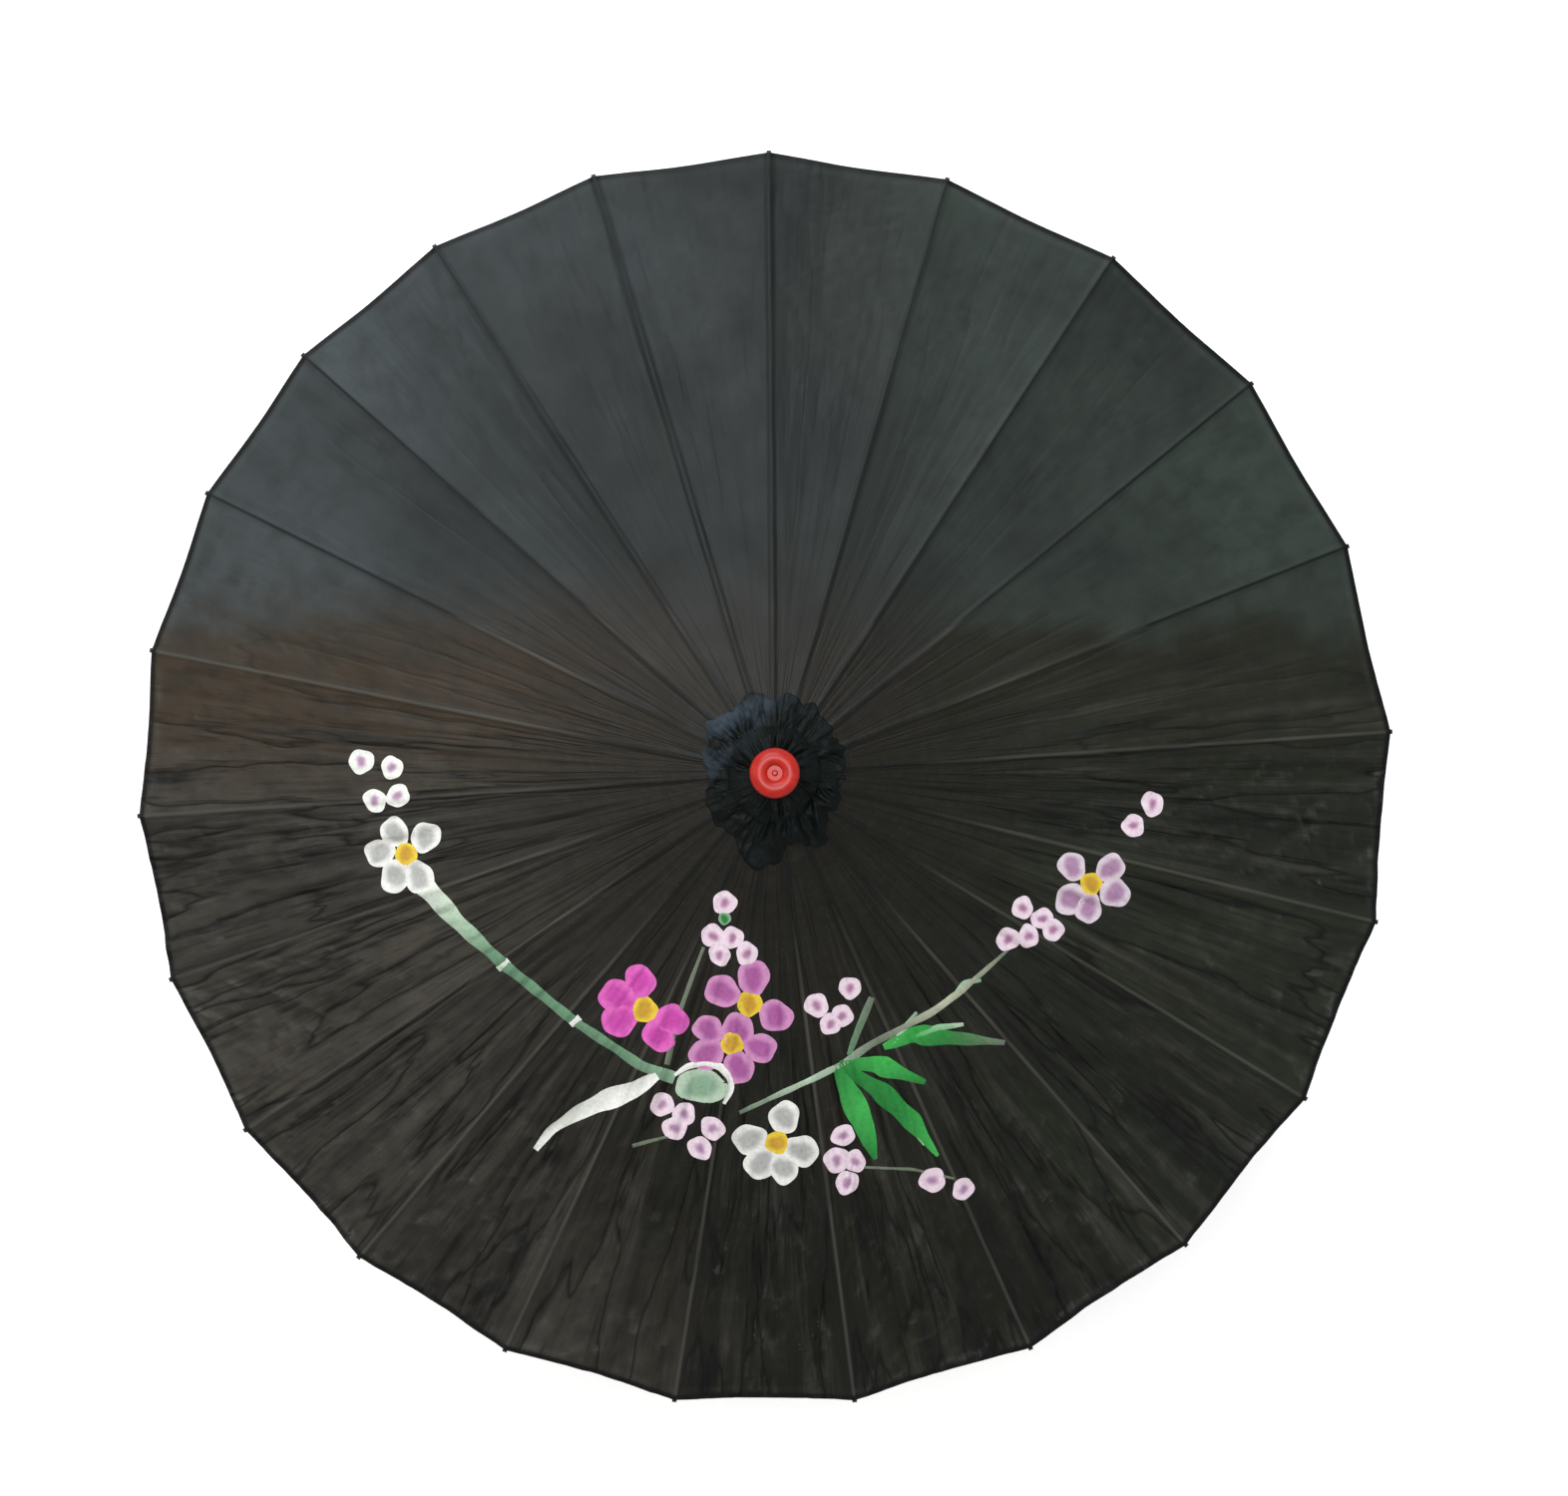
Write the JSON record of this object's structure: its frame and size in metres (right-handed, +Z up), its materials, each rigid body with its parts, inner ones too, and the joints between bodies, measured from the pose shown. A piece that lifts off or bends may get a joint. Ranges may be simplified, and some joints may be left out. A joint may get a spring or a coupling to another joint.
{
  "type": "folding parasol",
  "caption": "Open painted cloth parasol with bamboo ribs and struts, a sliding runner on a wooden shaft, and a red lacquered finial.",
  "frame": {"origin": "centre of the shaft's lower end", "axes": "+Z up the shaft toward the finial, +Y toward the first rib"},
  "size_m": [0.8198, 0.8179, 0.547],
  "materials": {
    "shaft_wood": "satin varnish",
    "hub_wood": "satin varnish",
    "bamboo": "semi-matte",
    "cloth": "oiled, slightly glossy",
    "lacquer": "gloss",
    "wire": "satin",
    "spring": "satin"
  },
  "bodies": {
    "stick": {"shaft": "shaft_wood", "top_hub": "hub_wood", "hub_pin": "bamboo", "hub_wire": "wire", "catch_pin": "wire", "canopy": "cloth", "crown_cover": "cloth", "finial": "lacquer", "finial_pin": "lacquer"},
    "catch": {"catch": "spring"},
    "runner": {"runner": "hub_wood", "runner_wire": "wire"},
    "rib_01": {"rib_01": "bamboo"},
    "strut_01": {"strut_01": "bamboo"},
    "rib_02": {"rib_02": "bamboo"},
    "strut_02": {"strut_02": "bamboo"},
    "rib_03": {"rib_03": "bamboo"},
    "strut_03": {"strut_03": "bamboo"},
    "rib_04": {"rib_04": "bamboo"},
    "strut_04": {"strut_04": "bamboo"},
    "rib_05": {"rib_05": "bamboo"},
    "strut_05": {"strut_05": "bamboo"},
    "rib_06": {"rib_06": "bamboo"},
    "strut_06": {"strut_06": "bamboo"},
    "rib_07": {"rib_07": "bamboo"},
    "strut_07": {"strut_07": "bamboo"},
    "rib_08": {"rib_08": "bamboo"},
    "strut_08": {"strut_08": "bamboo"},
    "rib_09": {"rib_09": "bamboo"},
    "strut_09": {"strut_09": "bamboo"},
    "rib_10": {"rib_10": "bamboo"},
    "strut_10": {"strut_10": "bamboo"},
    "rib_11": {"rib_11": "bamboo"},
    "strut_11": {"strut_11": "bamboo"},
    "rib_12": {"rib_12": "bamboo"},
    "strut_12": {"strut_12": "bamboo"},
    "rib_13": {"rib_13": "bamboo"},
    "strut_13": {"strut_13": "bamboo"},
    "rib_14": {"rib_14": "bamboo"},
    "strut_14": {"strut_14": "bamboo"},
    "rib_15": {"rib_15": "bamboo"},
    "strut_15": {"strut_15": "bamboo"},
    "rib_16": {"rib_16": "bamboo"},
    "strut_16": {"strut_16": "bamboo"},
    "rib_17": {"rib_17": "bamboo"},
    "strut_17": {"strut_17": "bamboo"},
    "rib_18": {"rib_18": "bamboo"},
    "strut_18": {"strut_18": "bamboo"},
    "rib_19": {"rib_19": "bamboo"},
    "strut_19": {"strut_19": "bamboo"},
    "rib_20": {"rib_20": "bamboo"},
    "strut_20": {"strut_20": "bamboo"},
    "rib_21": {"rib_21": "bamboo"},
    "strut_21": {"strut_21": "bamboo"},
    "rib_22": {"rib_22": "bamboo"},
    "strut_22": {"strut_22": "bamboo"}
  },
  "joints": [
    {"name": "rib_01_fold", "type": "hinge", "parent": "stick", "child": "rib_01", "pos_m": [0, 0.02, 0.515], "axis": [-1, 0.0002, 0], "range_deg": [0, 70.5], "deforming": ["canopy", "crown_cover", "catch"]},
    {"name": "strut_01_swing", "type": "hinge", "parent": "rib_01", "child": "strut_01", "pos_m": [0.00004, 0.19621, 0.45862], "axis": [-1, 0.0002, 0], "range_deg": [-141, 0]},
    {"name": "rib_02_fold", "type": "hinge", "parent": "stick", "child": "rib_02", "pos_m": [-0.0056, 0.0192, 0.515], "axis": [-0.96, -0.2801, 0], "range_deg": [0, 70.5]},
    {"name": "strut_02_swing", "type": "hinge", "parent": "rib_02", "child": "strut_02", "pos_m": [-0.05497, 0.18836, 0.45862], "axis": [-0.96, -0.2801, 0], "range_deg": [-141, 0]},
    {"name": "rib_03_fold", "type": "hinge", "parent": "stick", "child": "rib_03", "pos_m": [-0.01066, 0.01692, 0.515], "axis": [-0.8461, -0.533, 0], "range_deg": [0, 70.5]},
    {"name": "strut_03_swing", "type": "hinge", "parent": "rib_03", "child": "strut_03", "pos_m": [-0.10458, 0.16602, 0.45862], "axis": [-0.8461, -0.533, 0], "range_deg": [-141, 0]},
    {"name": "rib_04_fold", "type": "hinge", "parent": "stick", "child": "rib_04", "pos_m": [-0.01483, 0.01342, 0.515], "axis": [-0.6712, -0.7413, 0], "range_deg": [0, 70.5]},
    {"name": "strut_04_swing", "type": "hinge", "parent": "rib_04", "child": "strut_04", "pos_m": [-0.14545, 0.13169, 0.45862], "axis": [-0.6712, -0.7413, 0], "range_deg": [-141, 0]},
    {"name": "rib_05_fold", "type": "hinge", "parent": "stick", "child": "rib_05", "pos_m": [-0.01786, 0.00901, 0.515], "axis": [-0.4504, -0.8928, 0], "range_deg": [0, 70.5]},
    {"name": "strut_05_swing", "type": "hinge", "parent": "rib_05", "child": "strut_05", "pos_m": [-0.17518, 0.08838, 0.45862], "axis": [-0.4504, -0.8928, 0], "range_deg": [-141, 0]},
    {"name": "rib_06_fold", "type": "hinge", "parent": "stick", "child": "rib_06", "pos_m": [-0.01959, 0.00401, 0.515], "axis": [-0.2003, -0.9797, 0], "range_deg": [0, 70.5]},
    {"name": "strut_06_swing", "type": "hinge", "parent": "rib_06", "child": "strut_06", "pos_m": [-0.19224, 0.03929, 0.45862], "axis": [-0.2003, -0.9797, 0], "range_deg": [-141, 0]},
    {"name": "rib_07_fold", "type": "hinge", "parent": "stick", "child": "rib_07", "pos_m": [-0.01996, -0.00125, 0.515], "axis": [0.0626, -0.998, 0], "range_deg": [0, 70.5]},
    {"name": "strut_07_swing", "type": "hinge", "parent": "rib_07", "child": "strut_07", "pos_m": [-0.19583, -0.01229, 0.45862], "axis": [0.0626, -0.998, 0], "range_deg": [-141, 0]},
    {"name": "rib_08_fold", "type": "hinge", "parent": "stick", "child": "rib_08", "pos_m": [-0.01894, -0.00643, 0.515], "axis": [0.3216, -0.9469, 0], "range_deg": [0, 70.5]},
    {"name": "strut_08_swing", "type": "hinge", "parent": "rib_08", "child": "strut_08", "pos_m": [-0.18579, -0.0631, 0.45862], "axis": [0.3216, -0.9469, 0], "range_deg": [-141, 0]},
    {"name": "rib_09_fold", "type": "hinge", "parent": "stick", "child": "rib_09", "pos_m": [-0.01657, -0.0112, 0.515], "axis": [0.5598, -0.8286, 0], "range_deg": [0, 70.5]},
    {"name": "strut_09_swing", "type": "hinge", "parent": "rib_09", "child": "strut_09", "pos_m": [-0.16258, -0.10985, 0.45862], "axis": [0.5598, -0.8286, 0], "range_deg": [-141, 0]},
    {"name": "rib_10_fold", "type": "hinge", "parent": "stick", "child": "rib_10", "pos_m": [-0.01298, -0.01522, 0.515], "axis": [0.7609, -0.6489, 0], "range_deg": [0, 70.5]},
    {"name": "strut_10_swing", "type": "hinge", "parent": "rib_10", "child": "strut_10", "pos_m": [-0.12733, -0.14929, 0.45862], "axis": [0.7609, -0.6489, 0], "range_deg": [-141, 0]},
    {"name": "rib_11_fold", "type": "hinge", "parent": "stick", "child": "rib_11", "pos_m": [-0.00835, -0.01817, 0.515], "axis": [0.9086, -0.4177, 0], "range_deg": [0, 70.5]},
    {"name": "strut_11_swing", "type": "hinge", "parent": "rib_11", "child": "strut_11", "pos_m": [-0.08195, -0.17828, 0.45862], "axis": [0.9086, -0.4177, 0], "range_deg": [-141, 0]},
    {"name": "rib_12_fold", "type": "hinge", "parent": "stick", "child": "rib_12", "pos_m": [-0.00299, -0.01978, 0.515], "axis": [0.9888, -0.1493, 0], "range_deg": [0, 70.5]},
    {"name": "strut_12_swing", "type": "hinge", "parent": "rib_12", "child": "strut_12", "pos_m": [-0.0293, -0.19401, 0.45862], "axis": [0.9888, -0.1493, 0], "range_deg": [-141, 0]},
    {"name": "rib_13_fold", "type": "hinge", "parent": "stick", "child": "rib_13", "pos_m": [0.00273, -0.01981, 0.515], "axis": [0.9906, 0.1367, 0], "range_deg": [0, 70.5]},
    {"name": "strut_13_swing", "type": "hinge", "parent": "rib_13", "child": "strut_13", "pos_m": [0.02683, -0.19437, 0.45862], "axis": [0.9906, 0.1367, 0], "range_deg": [-141, 0]},
    {"name": "rib_14_fold", "type": "hinge", "parent": "stick", "child": "rib_14", "pos_m": [0.00834, -0.01818, 0.515], "axis": [0.9089, 0.417, 0], "range_deg": [0, 70.5]},
    {"name": "strut_14_swing", "type": "hinge", "parent": "rib_14", "child": "strut_14", "pos_m": [0.08182, -0.17834, 0.45862], "axis": [0.9089, 0.417, 0], "range_deg": [-141, 0]},
    {"name": "rib_15_fold", "type": "hinge", "parent": "stick", "child": "rib_15", "pos_m": [0.01331, -0.01492, 0.515], "axis": [0.7462, 0.6657, 0], "range_deg": [0, 70.5]},
    {"name": "strut_15_swing", "type": "hinge", "parent": "rib_15", "child": "strut_15", "pos_m": [0.13063, -0.14641, 0.45862], "axis": [0.7462, 0.6657, 0], "range_deg": [-141, 0]},
    {"name": "rib_16_fold", "type": "hinge", "parent": "stick", "child": "rib_16", "pos_m": [0.01716, -0.01028, 0.515], "axis": [0.5138, 0.8579, 0], "range_deg": [0, 70.5]},
    {"name": "strut_16_swing", "type": "hinge", "parent": "rib_16", "child": "strut_16", "pos_m": [0.16833, -0.10082, 0.45862], "axis": [0.5138, 0.8579, 0], "range_deg": [-141, 0]},
    {"name": "rib_17_fold", "type": "hinge", "parent": "stick", "child": "rib_17", "pos_m": [0.01945, -0.00464, 0.515], "axis": [0.2319, 0.9727, 0], "range_deg": [0, 70.5]},
    {"name": "strut_17_swing", "type": "hinge", "parent": "rib_17", "child": "strut_17", "pos_m": [0.19086, -0.04551, 0.45862], "axis": [0.2319, 0.9727, 0], "range_deg": [-141, 0]},
    {"name": "rib_18_fold", "type": "hinge", "parent": "stick", "child": "rib_18", "pos_m": [0.01995, 0.00146, 0.515], "axis": [-0.0728, 0.9973, 0], "range_deg": [0, 70.5]},
    {"name": "strut_18_swing", "type": "hinge", "parent": "rib_18", "child": "strut_18", "pos_m": [0.19569, 0.01428, 0.45862], "axis": [-0.0728, 0.9973, 0], "range_deg": [-141, 0]},
    {"name": "rib_19_fold", "type": "hinge", "parent": "stick", "child": "rib_19", "pos_m": [0.01858, 0.00741, 0.515], "axis": [-0.3703, 0.9289, 0], "range_deg": [0, 70.5]},
    {"name": "strut_19_swing", "type": "hinge", "parent": "rib_19", "child": "strut_19", "pos_m": [0.18227, 0.07266, 0.45862], "axis": [-0.3703, 0.9289, 0], "range_deg": [-141, 0]},
    {"name": "rib_20_fold", "type": "hinge", "parent": "stick", "child": "rib_20", "pos_m": [0.0155, 0.01263, 0.515], "axis": [-0.6317, 0.7752, 0], "range_deg": [0, 70.5]},
    {"name": "strut_20_swing", "type": "hinge", "parent": "rib_20", "child": "strut_20", "pos_m": [0.15211, 0.12394, 0.45862], "axis": [-0.6317, 0.7752, 0], "range_deg": [-141, 0]},
    {"name": "rib_21_fold", "type": "hinge", "parent": "stick", "child": "rib_21", "pos_m": [0.01107, 0.01666, 0.515], "axis": [-0.833, 0.5533, 0], "range_deg": [0, 70.5]},
    {"name": "strut_21_swing", "type": "hinge", "parent": "rib_21", "child": "strut_21", "pos_m": [0.10857, 0.16344, 0.45862], "axis": [-0.833, 0.5533, 0], "range_deg": [-141, 0]},
    {"name": "rib_22_fold", "type": "hinge", "parent": "stick", "child": "rib_22", "pos_m": [0.00573, 0.01916, 0.515], "axis": [-0.9581, 0.2864, 0], "range_deg": [0, 70.5]},
    {"name": "strut_22_swing", "type": "hinge", "parent": "rib_22", "child": "strut_22", "pos_m": [0.05619, 0.188, 0.45862], "axis": [-0.9581, 0.2864, 0], "range_deg": [-141, 0]},
    {"name": "runner_level", "type": "hinge", "parent": "strut_01", "child": "runner", "pos_m": [0, 0.02, 0.40223], "axis": [-1, 0.0002, 0], "range_deg": [0, 70.5]},
    {"name": "catch_press", "type": "hinge", "parent": "stick", "child": "catch", "pos_m": [0, 0, 0.31493], "axis": [-1, 0, 0], "range_deg": [0, 3.6], "stiffness_Nm_per_rad": 0.15}
  ],
  "couplings": [
    {"joint": "strut_01_swing", "follows": "rib_01_fold", "ratio": -2},
    {"joint": "rib_02_fold", "follows": "rib_01_fold", "ratio": 1},
    {"joint": "strut_02_swing", "follows": "rib_01_fold", "ratio": -2},
    {"joint": "rib_03_fold", "follows": "rib_01_fold", "ratio": 1},
    {"joint": "strut_03_swing", "follows": "rib_01_fold", "ratio": -2},
    {"joint": "rib_04_fold", "follows": "rib_01_fold", "ratio": 1},
    {"joint": "strut_04_swing", "follows": "rib_01_fold", "ratio": -2},
    {"joint": "rib_05_fold", "follows": "rib_01_fold", "ratio": 1},
    {"joint": "strut_05_swing", "follows": "rib_01_fold", "ratio": -2},
    {"joint": "rib_06_fold", "follows": "rib_01_fold", "ratio": 1},
    {"joint": "strut_06_swing", "follows": "rib_01_fold", "ratio": -2},
    {"joint": "rib_07_fold", "follows": "rib_01_fold", "ratio": 1},
    {"joint": "strut_07_swing", "follows": "rib_01_fold", "ratio": -2},
    {"joint": "rib_08_fold", "follows": "rib_01_fold", "ratio": 1},
    {"joint": "strut_08_swing", "follows": "rib_01_fold", "ratio": -2},
    {"joint": "rib_09_fold", "follows": "rib_01_fold", "ratio": 1},
    {"joint": "strut_09_swing", "follows": "rib_01_fold", "ratio": -2},
    {"joint": "rib_10_fold", "follows": "rib_01_fold", "ratio": 1},
    {"joint": "strut_10_swing", "follows": "rib_01_fold", "ratio": -2},
    {"joint": "rib_11_fold", "follows": "rib_01_fold", "ratio": 1},
    {"joint": "strut_11_swing", "follows": "rib_01_fold", "ratio": -2},
    {"joint": "rib_12_fold", "follows": "rib_01_fold", "ratio": 1},
    {"joint": "strut_12_swing", "follows": "rib_01_fold", "ratio": -2},
    {"joint": "rib_13_fold", "follows": "rib_01_fold", "ratio": 1},
    {"joint": "strut_13_swing", "follows": "rib_01_fold", "ratio": -2},
    {"joint": "rib_14_fold", "follows": "rib_01_fold", "ratio": 1},
    {"joint": "strut_14_swing", "follows": "rib_01_fold", "ratio": -2},
    {"joint": "rib_15_fold", "follows": "rib_01_fold", "ratio": 1},
    {"joint": "strut_15_swing", "follows": "rib_01_fold", "ratio": -2},
    {"joint": "rib_16_fold", "follows": "rib_01_fold", "ratio": 1},
    {"joint": "strut_16_swing", "follows": "rib_01_fold", "ratio": -2},
    {"joint": "rib_17_fold", "follows": "rib_01_fold", "ratio": 1},
    {"joint": "strut_17_swing", "follows": "rib_01_fold", "ratio": -2},
    {"joint": "rib_18_fold", "follows": "rib_01_fold", "ratio": 1},
    {"joint": "strut_18_swing", "follows": "rib_01_fold", "ratio": -2},
    {"joint": "rib_19_fold", "follows": "rib_01_fold", "ratio": 1},
    {"joint": "strut_19_swing", "follows": "rib_01_fold", "ratio": -2},
    {"joint": "rib_20_fold", "follows": "rib_01_fold", "ratio": 1},
    {"joint": "strut_20_swing", "follows": "rib_01_fold", "ratio": -2},
    {"joint": "rib_21_fold", "follows": "rib_01_fold", "ratio": 1},
    {"joint": "strut_21_swing", "follows": "rib_01_fold", "ratio": -2},
    {"joint": "rib_22_fold", "follows": "rib_01_fold", "ratio": 1},
    {"joint": "strut_22_swing", "follows": "rib_01_fold", "ratio": -2},
    {"joint": "runner_level", "follows": "rib_01_fold", "ratio": 1}
  ]
}
